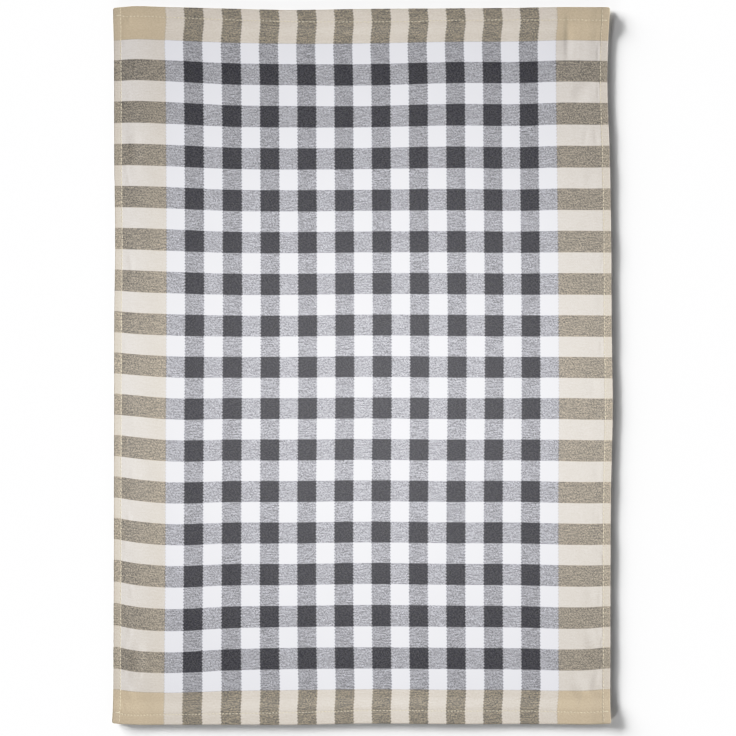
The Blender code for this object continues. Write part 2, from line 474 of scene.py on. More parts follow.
@dataclass(frozen=True)
class Relief:
    """Height of the cloth off the surface where no hem lifts it: ripples, creases and puckers."""

    seed: int = 11
    wave_count: int = 14
    wave_height: float = 0.10
    wave_reach: tuple[float, float] = (22.0, 90.0)
    wave_middle: float = 1.2
    pucker_rows: int = 30
    pucker_inset: tuple[float, float] = (9.5, 18.0)
    pucker_place: tuple[float, float] = (0.2, 0.8)
    pucker_length: tuple[float, float] = (10.0, 24.0)
    pucker_width: tuple[float, float] = (2.4, 5.5)
    pucker_lean: tuple[float, float] = (-18.0, 18.0)
    pucker_share: tuple[float, float] = (0.4, 1.0)
    left_depth: float = 0.2
    right_depth: float = 0.22

    def waves(self, x: np.ndarray, y: np.ndarray) -> np.ndarray:
        """Faint broad unevenness, never below 0.

        Args:
            x: Places across the towel.
            y: Places along it.

        Returns:
            The height at each place.
        """
        dice = np.random.default_rng(self.seed)
        total = np.zeros_like(x)
        for _ in range(self.wave_count):
            reach = dice.uniform(*self.wave_reach)
            turn = dice.uniform(0.0, math.pi)
            phase = dice.uniform(0.0, math.tau)
            along = (x * math.cos(turn) + y * math.sin(turn)) * math.tau / reach
            total += np.sin(along + phase)
        raised = self.wave_middle + total / math.sqrt(self.wave_count)
        return self.wave_height * np.clip(raised, 0.0, 2.0 * self.wave_middle)

    def puckers(self) -> list[Crease]:
        """Draws the small puckers that the sewing makes beside the long hems.

        Returns:
            The puckers of both sides.
        """
        dice = np.random.default_rng(self.seed + 1)
        step = 2.0 * HALF_LENGTH / self.pucker_rows
        drawn = []
        for side, depth in ((-1.0, self.left_depth), (1.0, self.right_depth)):
            for row in range(self.pucker_rows):
                pucker = Crease(
                    x=side * (HALF_WIDTH - dice.uniform(*self.pucker_inset)),
                    y=(row + dice.uniform(*self.pucker_place)) * step - HALF_LENGTH,
                    length=dice.uniform(*self.pucker_length),
                    width=dice.uniform(*self.pucker_width),
                    lean=dice.uniform(*self.pucker_lean),
                    lift=depth * dice.uniform(*self.pucker_share),
                )
                drawn.append(pucker)
        return drawn

    @staticmethod
    def raise_crease(crease: Crease, x: np.ndarray, y: np.ndarray) -> np.ndarray:
        """Height that one crease adds.

        Args:
            crease: The ridge or trough.
            x: Places across the towel.
            y: Places along it.

        Returns:
            Its height at each place, 0 beyond its reach.
        """
        lean = math.radians(crease.lean)
        off_x = x - crease.x
        off_y = y - crease.y
        along = off_x * math.sin(lean) + off_y * math.cos(lean)
        across = off_x * math.cos(lean) - off_y * math.sin(lean)
        reach = np.hypot(along / (crease.length / 2.0), across / crease.width)
        return crease.lift * np.cos(np.minimum(reach, 1.0) * math.pi / 2.0) ** 2

    def height(self, x: np.ndarray, y: np.ndarray) -> np.ndarray:
        """Height of the cloth's underside off the surface.

        Args:
            x: Places across the towel.
            y: Places along it.

        Returns:
            The height at each place, never below 0.
        """
        broad = np.max([self.raise_crease(ripple, x, y) for ripple in RIPPLES], axis=0)
        narrow = sum(self.raise_crease(crease, x, y) for crease in (*CREASES, *self.puckers()))
        return np.maximum(self.waves(x, y) + broad + narrow, 0.0)


@dataclass
class ClothForm:
    """The shape in which the towel lies, worked out from its flat grid."""

    side_hem: SideHem = field(default_factory=SideHem)
    end_hem: EndHem = field(default_factory=EndHem)
    relief: Relief = field(default_factory=Relief)
    seam_groove: float = 0.1
    under_groove: float = 0.36
    groove_width: float = 0.55
    puff: float = 0.03
    seam_ease: float = 34.0
    middle: tuple[float, float] = (0.0, 0.0)

    def __post_init__(self) -> None:
        """Finds the middle of the outline, so that it can stand over the origin of the node."""
        low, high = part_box(TOWEL_NODE)
        rim_x, rim_y = self.rim()
        outline = self.place(rim_x, rim_y, Side.FACE)
        off_x = (outline.x.min() + outline.x.max() - (low[0] + high[0]) / MM) / 2.0
        off_y = (outline.y.min() + outline.y.max() - (low[1] + high[1]) / MM) / 2.0
        self.middle = (float(off_x), float(off_y))

    @staticmethod
    def rim() -> tuple[np.ndarray, np.ndarray]:
        """Goes round the flat outline.

        Returns:
            Points of it, across and along.
        """
        run = np.linspace(-1.0, 1.0, RIM_POINTS)
        ones = np.ones_like(run)
        across = np.concatenate([run, run, ones, -ones]) * HALF_WIDTH
        along = np.concatenate([ones, -ones, run, run]) * HALF_LENGTH
        return across, along

    def seam_inset(self, across: np.ndarray, along: np.ndarray) -> np.ndarray:
        """How far in from its end the seam runs.

        Args:
            across: Places across the flat towel.
            along: Places along it, which say by their sign which end counts.

        Returns:
            The distance in from the end.
        """
        top = np.array(TOP_SEAM)
        bottom = np.array(BOTTOM_SEAM)
        at_top = np.interp(across, top[:, 0], top[:, 1])
        at_bottom = np.interp(across, bottom[:, 0], bottom[:, 1])
        return np.where(along > 0.0, at_top, at_bottom)

    def weft_of(self, across: np.ndarray, along: np.ndarray) -> np.ndarray:
        """Weft place in the flat cloth of a grid line, which follows the end's seam.

        Args:
            across: Places across the flat grid.
            along: Places along it.

        Returns:
            The places along the flat cloth.
        """
        inset = HALF_LENGTH - np.abs(along)
        wander = self.seam_inset(across, along) / self.end_hem.seam - 1.0
        past = (inset - self.end_hem.width) / (self.seam_ease - self.end_hem.width)
        held = np.minimum(inset, self.end_hem.width)
        moved = inset + wander * held * (1.0 - ease(past))
        return np.sign(along) * (HALF_LENGTH - moved)

    @staticmethod
    def round_corner(across: np.ndarray, along: np.ndarray) -> tuple[np.ndarray, np.ndarray]:
        """Draws square corners in onto quarter circles.

        Args:
            across: Places across the flat towel.
            along: Places along it.

        Returns:
            The same places with the corners drawn in.
        """
        over_x = np.maximum(np.abs(across) - (HALF_WIDTH - CORNER_RADIUS), 0.0)
        over_y = np.maximum(np.abs(along) - (HALF_LENGTH - CORNER_RADIUS), 0.0)
        slant = np.maximum(np.hypot(over_x, over_y), TINY)
        in_corner = (over_x > 0.0) & (over_y > 0.0)
        pull = np.where(in_corner, 1.0 - np.maximum(over_x, over_y) / slant, 0.0)
        return across - np.sign(across) * over_x * pull, along - np.sign(along) * over_y * pull

    def groove(self, side_inset: np.ndarray, end_inset: np.ndarray) -> np.ndarray:
        """How much of a seam's groove there is.

        Args:
            side_inset: Distances in from the nearer long side.
            end_inset: Distances in from the nearer end.

        Returns:
            1 on a seam, falling to 0 beside it.
        """
        off_side = (side_inset - self.side_hem.seam) / self.groove_width
        off_end = (end_inset - self.end_hem.seam) / self.groove_width
        return np.maximum(np.exp(-off_side * off_side), np.exp(-off_end * off_end))

    def puffed(self, inset: np.ndarray, seam: float) -> np.ndarray:
        """Swelling of a hem between its fold and its seam."""
        share = np.clip((inset - FOLD_REACH) / (seam - FOLD_REACH), 0.0, 1.0)
        return self.puff * np.sin(math.pi * share)

    def place(self, across: np.ndarray, along: np.ndarray, side: Side) -> Spot:
        """Where points of the flat grid lie.

        Args:
            across: Places across the flat grid.
            along: Places along it.
            side: The side of the cloth they are on.

        Returns:
            Their places on the towel, in millimetres.
        """
        side_inset = HALF_WIDTH - np.abs(across)
        end_inset = HALF_LENGTH - np.abs(along)
        weft = self.weft_of(across, along)
        flat_x, flat_y = self.round_corner(across, weft)
        x = flat_x + read_table(WARP_DRIFT, DRIFT_PLACES, across, weft) - self.middle[0]
        y = flat_y + read_table(WEFT_BOW, BOW_PLACES, across, weft) - self.middle[1]
        lift = self.relief.height(x, y) + self.side_hem.stand(across)
        stand = self.end_hem.stand(end_inset)
        filled = self.end_hem.is_under(end_inset)
        groove = self.groove(side_inset, end_inset)
        under = lift + stand * (1.0 - filled) + self.under_groove * groove
        swell = np.maximum(
            self.puffed(side_inset, self.side_hem.seam), self.puffed(end_inset, self.end_hem.seam)
        )
        face = lift + stand + SHEET + self.side_hem.rise(across)
        face += swell - self.seam_groove * groove
        reach = np.clip(np.minimum(side_inset, end_inset) / FOLD_REACH, 0.0, 1.0)
        bulge = np.sqrt(1.0 - (1.0 - reach) ** 2)
        z = (face + under) / 2.0 + side.value * bulge * (face - under) / 2.0
        return Spot(x=x, y=y, z=z, warp_place=across, weft_place=weft)


@dataclass
class Wiring:
    """Adds the nodes of one shader tree and links them."""

    tree: bpy.types.NodeTree

    def add(self, kind: str, **settings: object) -> bpy.types.Node:
        """Adds a node.

        Args:
            kind: The node's type name.
            settings: Attributes to set on it.

        Returns:
            The node.
        """
        node = self.tree.nodes.new(kind)
        for name, value in settings.items():
            setattr(node, name, value)
        return node

    def feed(self, socket: bpy.types.NodeSocket, value: object) -> None:
        """Gives an input its value.

        Args:
            socket: The input.
            value: A socket that is linked to it, or a plain value that is set there.
        """
        if isinstance(value, bpy.types.NodeSocket):
            self.tree.links.new(value, socket)
        else:
            socket.default_value = value

    def math(self, operation: str, *values: object, clamp: bool = False) -> bpy.types.NodeSocket:
        """Result of one sum on numbers or sockets.

        Args:
            operation: The Math node's operation.
            values: Its inputs, in order.
            clamp: Whether the result is held from 0 to 1.

        Returns:
            The result's socket.
        """
        node = self.add("ShaderNodeMath", operation=operation, use_clamp=clamp)
        for socket, value in zip(node.inputs, values):
            self.feed(socket, value)
        return node.outputs[0]

    def vector(self, x: object, y: object, z: object = 0.0) -> bpy.types.NodeSocket:
        """Vector made of three numbers or sockets.

        Args:
            x: Its first part.
            y: Its second part.
            z: Its third part.

        Returns:
            The vector's socket.
        """
        node = self.add("ShaderNodeCombineXYZ")
        for socket, value in zip(node.inputs, (x, y, z)):
            self.feed(socket, value)
        return node.outputs[0]

    def combine(self, operation: str, *values: object) -> bpy.types.NodeSocket:
        """Result of one sum on vectors or colours.

        Args:
            operation: The Vector Math node's operation.
            values: Its inputs, in order.

        Returns:
            The result's socket.
        """
        node = self.add("ShaderNodeVectorMath", operation=operation)
        for socket, value in zip(node.inputs, values):
            self.feed(socket, value)
        return node.outputs[0]

    def scaled(self, colour: object, amount: bpy.types.NodeSocket) -> bpy.types.NodeSocket:
        """A colour with all its parts multiplied by one number."""
        return self.combine("MULTIPLY", colour, self.vector(amount, amount, amount))

    def attribute(self, name: str) -> tuple[bpy.types.NodeSocket, list[bpy.types.NodeSocket]]:
        """Reads a vector that is stored on the mesh.

        Args:
            name: The name it is stored under.

        Returns:
            The vector, and its three parts.
        """
        whole = self.add("ShaderNodeAttribute", attribute_name=name).outputs["Vector"]
        parts = self.add("ShaderNodeSeparateXYZ")
        self.feed(parts.inputs[0], whole)
        return whole, list(parts.outputs)

    def bump(self, height: bpy.types.NodeSocket) -> bpy.types.NodeSocket:
        """Normal of a relief.

        Args:
            height: The relief's height in millimetres.

        Returns:
            The normal's socket.
        """
        node = self.add("ShaderNodeBump")
        node.inputs["Strength"].default_value = BUMP_STRENGTH
        node.inputs["Distance"].default_value = MM
        self.feed(node.inputs["Height"], height)
        return node.outputs[0]

    def blend(self, share: object, low: object, high: object) -> bpy.types.NodeSocket:
        """Colour between low and high.

        Args:
            share: How much of high shows.
            low: The colour at share 0.
            high: The colour at share 1.

        Returns:
            The colour's socket.
        """
        node = self.add("ShaderNodeMix", data_type="RGBA")
        self.feed(node.inputs[0], share)
        self.feed(node.inputs[6], low)
        self.feed(node.inputs[7], high)
        return node.outputs[2]

    def between(self, share: object, low: object, high: object) -> bpy.types.NodeSocket:
        """Number between low and high.

        Args:
            share: How much of high counts.
            low: The number at share 0.
            high: The number at share 1.

        Returns:
            The number's socket.
        """
        node = self.add("ShaderNodeMix", data_type="FLOAT")
        self.feed(node.inputs[0], share)
        self.feed(node.inputs[2], low)
        self.feed(node.inputs[3], high)
        return node.outputs[0]

    def group(self, group: bpy.types.NodeTree, **values: object) -> bpy.types.Node:
        """Places a node group.

        Args:
            group: The group.
            values: Its inputs by name, with _ for a space.

        Returns:
            The group's node.
        """
        node = self.add("ShaderNodeGroup", node_tree=group)
        for name, value in values.items():
            self.feed(node.inputs[name.replace("_", " ")], value)
        return node


def rgba(yarn: Yarn) -> tuple[float, float, float, float]:
    """A yarn's colour with full opacity."""
    return (*yarn.value, 1.0)


def new_group(name: str, inputs: dict[str, str], outputs: dict[str, str]) -> tuple[Wiring, dict, dict]:
    """Starts a shader node group with named sockets.

    Args:
        name: The group's name.
        inputs: The kind of each input, Float or Vector, by name.
        outputs: The kind of each output by name.

    Returns:
        Its wiring, its inputs inside the group and its outputs inside the group.
    """
    tree = bpy.data.node_groups.new(name, "ShaderNodeTree")
    for label, kind in inputs.items():
        tree.interface.new_socket(name=label, in_out="INPUT", socket_type=f"NodeSocket{kind}")
    for label, kind in outputs.items():
        tree.interface.new_socket(name=label, in_out="OUTPUT", socket_type=f"NodeSocket{kind}")
    wires = Wiring(tree)
    given = wires.add("NodeGroupInput").outputs
    made = wires.add("NodeGroupOutput").inputs
    return wires, {label: given[label] for label in inputs}, {label: made[label] for label in outputs}


def new_object(name: str, data: bpy.types.ID) -> bpy.types.Object:
    """Puts an object into the scene.

    Args:
        name: Its name.
        data: Its mesh, light or camera.

    Returns:
        The object.
    """
    made = bpy.data.objects.new(name, data)
    bpy.context.scene.collection.objects.link(made)
    return made


@dataclass
class YarnEffects:
    """Node groups that the cotton and the thread share."""

    grain: bpy.types.NodeTree = field(init=False)
    floats: bpy.types.NodeTree = field(init=False)
    stripe: bpy.types.NodeTree = field(init=False)
    twill: bpy.types.NodeTree = field(init=False)

    def __post_init__(self) -> None:
        """Builds each group once."""
        self.grain = self.build_grain()
        self.floats = self.build_floats()
        self.stripe = self.build_stripe()
        self.twill = self.build_twill()

    @staticmethod
    def build_grain() -> bpy.types.NodeTree:
        """Streaky unevenness of spun fibre, from -0.5 to 0.5, drawn out as Stretch says.

        Returns:
            The group, with the inputs Place, Stretch and Detail and the outputs Streak and Fibre.
        """
        inputs = {"Place": "Vector", "Stretch": "Vector", "Detail": "Float"}
        wires, given, made = new_group("fibre_grain", inputs, {"Streak": "Float", "Fibre": "Float"})
        drawn = wires.combine("MULTIPLY", given["Place"], given["Stretch"])
        cloud = wires.add("ShaderNodeTexNoise", noise_dimensions="3D")
        wires.feed(cloud.inputs["Vector"], drawn)
        wires.feed(cloud.inputs["Scale"], 1.0)
        wires.feed(cloud.inputs["Detail"], given["Detail"])
        wires.feed(cloud.inputs["Roughness"], GRAIN_ROUGHNESS)
        wires.feed(made["Streak"], wires.math("SUBTRACT", cloud.outputs[0], 0.5))
        fluff = wires.add("ShaderNodeTexNoise", noise_dimensions="3D")
        wires.feed(fluff.inputs["Vector"], given["Place"])
        wires.feed(fluff.inputs["Scale"], FIBRE_SCALE)
        wires.feed(fluff.inputs["Detail"], 2.0)
        wires.feed(made["Fibre"], wires.math("SUBTRACT", fluff.outputs[0], 0.5))
        return wires.tree

    @staticmethod
    def stretch(
        wires: Wiring, run: bpy.types.NodeSocket, row: bpy.types.NodeSocket
    ) -> bpy.types.NodeSocket:
        """Draws a number for one stretch of yarn, whose start differs from row to row.

        Args:
            wires: The group's wiring.
            run: How many stretches along the row the place is.
            row: The row's number.

        Returns:
            The number, from -0.5 to 0.5.
        """
        stagger = wires.add("ShaderNodeTexWhiteNoise", noise_dimensions="1D")
        wires.feed(stagger.inputs["W"], row)
        moved = wires.math("MULTIPLY_ADD", stagger.outputs["Value"], STAGGER, run)
        cell = wires.math("FLOOR", moved)
        draw = wires.add("ShaderNodeTexWhiteNoise", noise_dimensions="2D")
        wires.feed(draw.inputs["Vector"], wires.vector(cell, row))
        return wires.math("SUBTRACT", draw.outputs["Value"], 0.5)

    @classmethod
    def build_floats(cls) -> bpy.types.NodeTree:
        """Short stretches of yarn of uneven thickness, each of which crowds its neighbours.

        Returns:
            The group, with the inputs Across, Along, Length, Height and Crowding and the output
            Fleck.
        """
        inputs = dict.fromkeys(("Across", "Along", "Length", "Height", "Crowding"), "Float")
        wires, given, made = new_group("yarn_floats", inputs, {"Fleck": "Float"})
        row = wires.math("FLOOR", wires.math("DIVIDE", given["Along"], given["Height"]))
        run = wires.math("DIVIDE", given["Across"], given["Length"])
        here = cls.stretch(wires, run, row)
        beside = cls.stretch(wires, wires.math("ADD", run, 1.0), row)
        below = cls.stretch(wires, run, wires.math("ADD", row, 1.0))
        crowd = wires.math("MULTIPLY", wires.math("ADD", beside, below), given["Crowding"])
        wires.feed(made["Fleck"], wires.math("SUBTRACT", here, crowd))
        return wires.tree

    @staticmethod
    def build_stripe() -> bpy.types.NodeTree:
        """A yarn in even bands, white and charcoal by turns, with the border's colour outside.

        Returns:
            The group, with the inputs Place, Reach, Band and Border and the outputs Colour,
            Dark, Tan and Heft, which is how much thicker the yarn is than the white one.
        """
        inputs = {"Place": "Float", "Reach": "Float", "Band": "Float", "Border": "Color"}
        outputs = {"Colour": "Color", "Dark": "Float", "Tan": "Float", "Heft": "Float"}
        wires, given, made = new_group("banded_yarn", inputs, outputs)
        bands = wires.math("DIVIDE", wires.math("ADD", given["Place"], given["Reach"]), given["Band"])
        wave = wires.math("SINE", wires.math("MULTIPLY", bands, math.pi))
        spread = wires.math("SUBTRACT", DARK_SPREAD, wave)
        dark = wires.math("MULTIPLY_ADD", spread, BAND_SHARPNESS, 0.5, clamp=True)
        past = wires.math("SUBTRACT", wires.math("ABSOLUTE", given["Place"]), given["Reach"])
        border = wires.math("MULTIPLY_ADD", past, BORDER_SHARPNESS, 0.5, clamp=True)
        check = wires.blend(dark, rgba(Yarn.WHITE), rgba(Yarn.CHARCOAL))
        shown = wires.math("MULTIPLY", dark, wires.math("SUBTRACT", 1.0, border))
        heft = wires.math("MULTIPLY_ADD", border, TAN_HEFT, wires.math("MULTIPLY", shown, DARK_HEFT))
        wires.feed(made["Colour"], wires.blend(border, check, given["Border"]))
        wires.feed(made["Dark"], shown)
        wires.feed(made["Tan"], border)
        wires.feed(made["Heft"], heft)
        return wires.tree

    @staticmethod
    def build_twill() -> bpy.types.NodeTree:
        """Two-over-two twill, whose ribs run down to the right on the face.

        Returns:
            The group, with the inputs Across, Along and Pitch and the outputs Over and Relief.
        """
        inputs = {"Across": "Float", "Along": "Float", "Pitch": "Float"}
        wires, given, made = new_group("twill_weave", inputs, {"Over": "Float", "Relief": "Float"})
        ends = wires.math("DIVIDE", given["Across"], given["Pitch"])
        picks = wires.math("DIVIDE", given["Along"], given["Pitch"])
        diagonal = wires.math("MULTIPLY", wires.math("ADD", ends, picks), math.pi / 2.0)
        rib = wires.math("SINE", diagonal)
        over = wires.math("MULTIPLY_ADD", rib, TWILL_SHARPNESS, 0.5, clamp=True)
        warp = wires.math("ABSOLUTE", wires.math("SINE", wires.math("MULTIPLY", ends, math.pi)))
        weft = wires.math("ABSOLUTE", wires.math("SINE", wires.math("MULTIPLY", picks, math.pi)))
        wires.feed(made["Over"], over)
        wires.feed(made["Relief"], wires.between(over, weft, warp))
        return wires.tree


def new_material(name: str) -> tuple[bpy.types.Material, Wiring, bpy.types.Node]:
    """Starts a material.

    Args:
        name: Its name.

    Returns:
        The material, its wiring and its shader.
    """
    material = bpy.data.materials.new(name)
    material.use_nodes = True
    wires = Wiring(material.node_tree)
    return material, wires, material.node_tree.nodes["Principled BSDF"]


@dataclass(frozen=True)
class CottonFinish:
    """Yarn-dyed check in cotton twill."""

    pitch: float = 0.42
    rib_contrast: float = 0.05
    mutual: float = 0.28
    float_length: float = 1.0
    float_height: float = 0.9
    crowding: float = 0.33
    slant: float = 0.4
    fleck: float = 0.39
    tan_on_dark: float = 1.3
    tan_on_white: float = 0.6
    tint_change: float = 0.25
    soft_stretch: tuple[float, float, float] = (0.7, 1.1, 0.0)
    streak_length: float = 7.0
    streak: float = 0.19
    dark_streak: float = 0.15
    wobble_across: float = 1.2
    wobble_along: float = 0.5
    wander_across: float = 0.6
    wander_along: float = 0.5
    lint: float = 0.06
    tan_lint: float = 0.06
    tan_cloud: float = 1.6
    tan_lift: float = 0.016
    # Painted sheen: a cool tint added where charcoal crosses tan, less where the charcoal is the weft
    painted_sheen_tint: tuple[float, float, float] = (0.0, 0.011, 0.022)
    painted_sheen_on_weft: float = 0.35
    yarn_rise: float = 0.03
    slub_rise: float = 0.1
    tooth: float = 0.42
    tooth_pitch: float = 2.8
    roughness: float = 0.55
    shine: float = 0.56
    rough_change: float = 0.12
    fuzz: float = 0.02

    def build(self, effects: YarnEffects) -> bpy.types.Material:
        """Makes the material.

        Args:
            effects: The shared node groups.

        Returns:
            The material, which reads the flat place of each point from the attribute flat_place.
        """
        material, wires, shader = new_material("checked_cotton")
        flat, (across, along, cover) = wires.attribute("flat_place")
        soft = wires.group(effects.grain, Place=flat, Stretch=self.soft_stretch, Detail=2.0)
        slanted = wires.math("MULTIPLY_ADD", across, self.slant, along)
        fleck = self.uneven(wires, effects, across, slanted, soft, self.float_length)
        streak = self.uneven(wires, effects, across, along, soft, self.streak_length)
        warp, weft = self.yarns(wires, effects, across, along, soft.outputs["Streak"])
        twill = wires.group(effects.twill, Across=across, Along=along, Pitch=self.pitch)
        drawn = wires.between(weft.outputs["Dark"], self.streak, self.dark_streak)
        even = wires.math("MULTIPLY_ADD", fleck, self.fleck, wires.math("MULTIPLY", streak, drawn))
        mottle = wires.math("MULTIPLY", even, self.boldness(wires, warp, weft))
        mean = self.warp_share(wires, cover, twill, warp, weft)
        colour = self.mix_yarns(wires, warp, weft, mean, mottle)
        lint = self.lint_light(wires, warp, weft, fleck, soft.outputs["Streak"])
        linty = wires.combine("ADD", self.deepen(wires, colour), wires.vector(lint, lint, lint))
        # Base colour with painted sheen where charcoal crosses tan
        wires.feed(shader.inputs["Base Color"], self.cast(wires, linty, warp, weft))
        rough = wires.math("MULTIPLY_ADD", soft.outputs["Streak"], self.rough_change, self.roughness)
        wires.feed(shader.inputs["Roughness"], rough)
        wires.feed(shader.inputs["Normal"], self.bump(wires, twill, mottle))
        shader.inputs["Specular IOR Level"].default_value = self.shine
        shader.inputs["Sheen Weight"].default_value = self.fuzz
        return material

    def boldness(
        self, wires: Wiring, warp: bpy.types.Node, weft: bpy.types.Node
    ) -> bpy.types.NodeSocket:
        """How strongly the weave mottles: more where tan crosses charcoal, less beside white.

        Args:
            wires: The material's wiring.
            warp: The warp's bands.
            weft: The weft's bands.

        Returns:
            The strength, 1 in the check.
        """
        dark = wires.math("MAXIMUM", warp.outputs["Dark"], weft.outputs["Dark"])
        tan = wires.math("MAXIMUM", warp.outputs["Tan"], weft.outputs["Tan"])
        with_tan = wires.between(dark, self.tan_on_white, self.tan_on_dark)
        return wires.between(tan, 1.0, with_tan)

    def lint_light(
        self,
        wires: Wiring,
        warp: bpy.types.Node,
        weft: bpy.types.Node,
        fleck: bpy.types.NodeSocket,
        cloud: bpy.types.NodeSocket,
    ) -> bpy.types.NodeSocket:
        """Light and shade of loose fibres where both yarns have the same colour.

        Args:
            wires: The material's wiring.
            warp: The warp's bands.
            weft: The weft's bands.
            fleck: The unevenness of the yarns.
            cloud: A broader unevenness.

        Returns:
            How much lighter the cloth is, in shares of the light it gets.
        """
        all_dark = wires.math("MULTIPLY", warp.outputs["Dark"], weft.outputs["Dark"])
        all_tan = wires.math("MULTIPLY", warp.outputs["Tan"], weft.outputs["Tan"])
        clouded = wires.math("MULTIPLY_ADD", cloud, self.tan_cloud, fleck)
        on_tan = wires.math("MULTIPLY_ADD", clouded, self.tan_lint, self.tan_lift)
        dark_lint = wires.math("MULTIPLY", wires.math("MULTIPLY", fleck, self.lint), all_dark)
        return wires.math("MULTIPLY_ADD", on_tan, all_tan, dark_lint)

    def deepen(self, wires: Wiring, colour: bpy.types.NodeSocket) -> bpy.types.NodeSocket:
        """Colour of a pile of fibres, which light each other and so look deeper than one alone.

        Args:
            wires: The material's wiring.
            colour: The colour of one fibre.

        Returns:
            The deeper colour's socket.
        """
        direct = 1.0 - self.mutual
        lit = wires.combine("MULTIPLY_ADD", colour, (self.mutual,) * 3, (direct,) * 3)
        return wires.combine("MULTIPLY", colour, lit)

    def uneven(
        self,
        wires: Wiring,
        effects: YarnEffects,
        across: bpy.types.NodeSocket,
        along: bpy.types.NodeSocket,
        soft: bpy.types.Node,
        length: float,
    ) -> bpy.types.NodeSocket:
        """Uneven thickness of the weft in stretches of one length.

        Args:
            wires: The material's wiring.
            effects: The shared node groups.
            across: The flat place across.
            along: The flat place along.
            soft: The grain that the stretches' outlines follow.
            length: The length of a stretch.

        Returns:
            The unevenness, from -0.5 to 0.5.
        """
        node = wires.group(
            effects.floats,
            Across=wires.math("MULTIPLY_ADD", soft.outputs["Fibre"], self.wobble_across, across),
            Along=wires.math("MULTIPLY_ADD", soft.outputs["Streak"], self.wobble_along, along),
            Length=length,
            Height=self.float_height,
            Crowding=self.crowding,
        )
        return node.outputs["Fleck"]

    def warp_share(
        self,
        wires: Wiring,
        cover: bpy.types.NodeSocket,
        twill: bpy.types.Node,
        warp: bpy.types.Node,
        weft: bpy.types.Node,
    ) -> bpy.types.NodeSocket:
        """Share of the warp in what shows at a point, before the yarns' unevenness.

        Args:
            wires: The material's wiring.
            cover: The mean share.
            twill: The weave.
            warp: The warp's bands.
            weft: The weft's bands.

        Returns:
            The share, from 0 to 1.
        """
        rib = wires.math("SUBTRACT", twill.outputs["Over"], 0.5)
        heft = wires.math("SUBTRACT", warp.outputs["Heft"], weft.outputs["Heft"])
        return wires.math("MULTIPLY_ADD", rib, self.rib_contrast, wires.math("ADD", cover, heft))

    def mix_yarns(
        self,
        wires: Wiring,
        warp: bpy.types.Node,
        weft: bpy.types.Node,
        mean: bpy.types.NodeSocket,
        mottle: bpy.types.NodeSocket,
    ) -> bpy.types.NodeSocket:
        """Colour of warp and weft together, whose unevenness changes the lightness most.

        Args:
            wires: The material's wiring.
            warp: The warp's bands.
            weft: The weft's bands.
            mean: The mean share of the warp.
            mottle: The unevenness of the yarns.

        Returns:
            The colour's socket.
        """
        colours = (weft.outputs["Colour"], warp.outputs["Colour"])
        even = wires.blend(mean, *colours)
        uneven = wires.blend(wires.math("ADD", mean, mottle, clamp=True), *colours)
        light = [wires.add("ShaderNodeRGBToBW") for _ in range(2)]
        wires.feed(light[0].inputs[0], even)
        wires.feed(light[1].inputs[0], uneven)
        ratio = wires.math("DIVIDE", light[1].outputs[0], light[0].outputs[0])
        return wires.blend(self.tint_change, wires.scaled(even, ratio), uneven)

    def cast(
        self,
        wires: Wiring,
        colour: bpy.types.NodeSocket,
        warp: bpy.types.Node,
        weft: bpy.types.Node,
    ) -> bpy.types.NodeSocket:
        """Adds painted sheen: a cool tint where charcoal crosses tan, standing in for the gloss of the
        tan yarn.

        Args:
            wires: The material's wiring.
            colour: The colour.
            warp: The warp's bands.
            weft: The weft's bands.

        Returns:
            The socket of the colour with its painted sheen.
        """
        dark_warp = wires.math("MULTIPLY", warp.outputs["Dark"], weft.outputs["Tan"])
        dark_weft = wires.math("MULTIPLY", weft.outputs["Dark"], warp.outputs["Tan"])
        amount = wires.math("MULTIPLY_ADD", dark_weft, self.painted_sheen_on_weft, dark_warp)
        return wires.combine("ADD", colour, wires.scaled(self.painted_sheen_tint, amount))

    def yarns(
        self,
        wires: Wiring,
        effects: YarnEffects,
        across: bpy.types.NodeSocket,
        along: bpy.types.NodeSocket,
        wander: bpy.types.NodeSocket,
    ) -> tuple[bpy.types.Node, bpy.types.Node]:
        """Bands of the warp and the weft, with the small teeth of the twill along their edges.

        Args:
            wires: The material's wiring.
            effects: The shared node groups.
            across: The flat place across.
            along: The flat place along.
            wander: A streak that the edges follow.

        Returns:
            The warp's group and the weft's group.
        """
        step = wires.math("SINE", wires.math("MULTIPLY", along, math.tau / self.tooth_pitch))
        teeth = wires.math("MULTIPLY", step, self.tooth)
        shift = wires.math("MULTIPLY_ADD", wander, self.wander_across, teeth)
        shifted = wires.math("ADD", across, shift)
        raised = wires.math("MULTIPLY_ADD", wander, self.wander_along, along)
        warp = wires.group(
            effects.stripe,
            Place=shifted,
            Reach=WARP_REACH,
            Band=2.0 * WARP_REACH / WARP_BANDS,
            Border=rgba(Yarn.WARP_TAN),
        )
        weft = wires.group(
            effects.stripe,
            Place=raised,
            Reach=WEFT_REACH,
            Band=2.0 * WEFT_REACH / WEFT_BANDS,
            Border=rgba(Yarn.WEFT_TAN),
        )
        return warp, weft

    def bump(
        self, wires: Wiring, twill: bpy.types.Node, mottle: bpy.types.NodeSocket
    ) -> bpy.types.NodeSocket:
        """Normal of the relief that the weave and the yarns' unevenness make."""
        yarns = wires.math("MULTIPLY", twill.outputs["Relief"], self.yarn_rise)
        return wires.bump(wires.math("MULTIPLY_ADD", mottle, self.slub_rise, yarns))


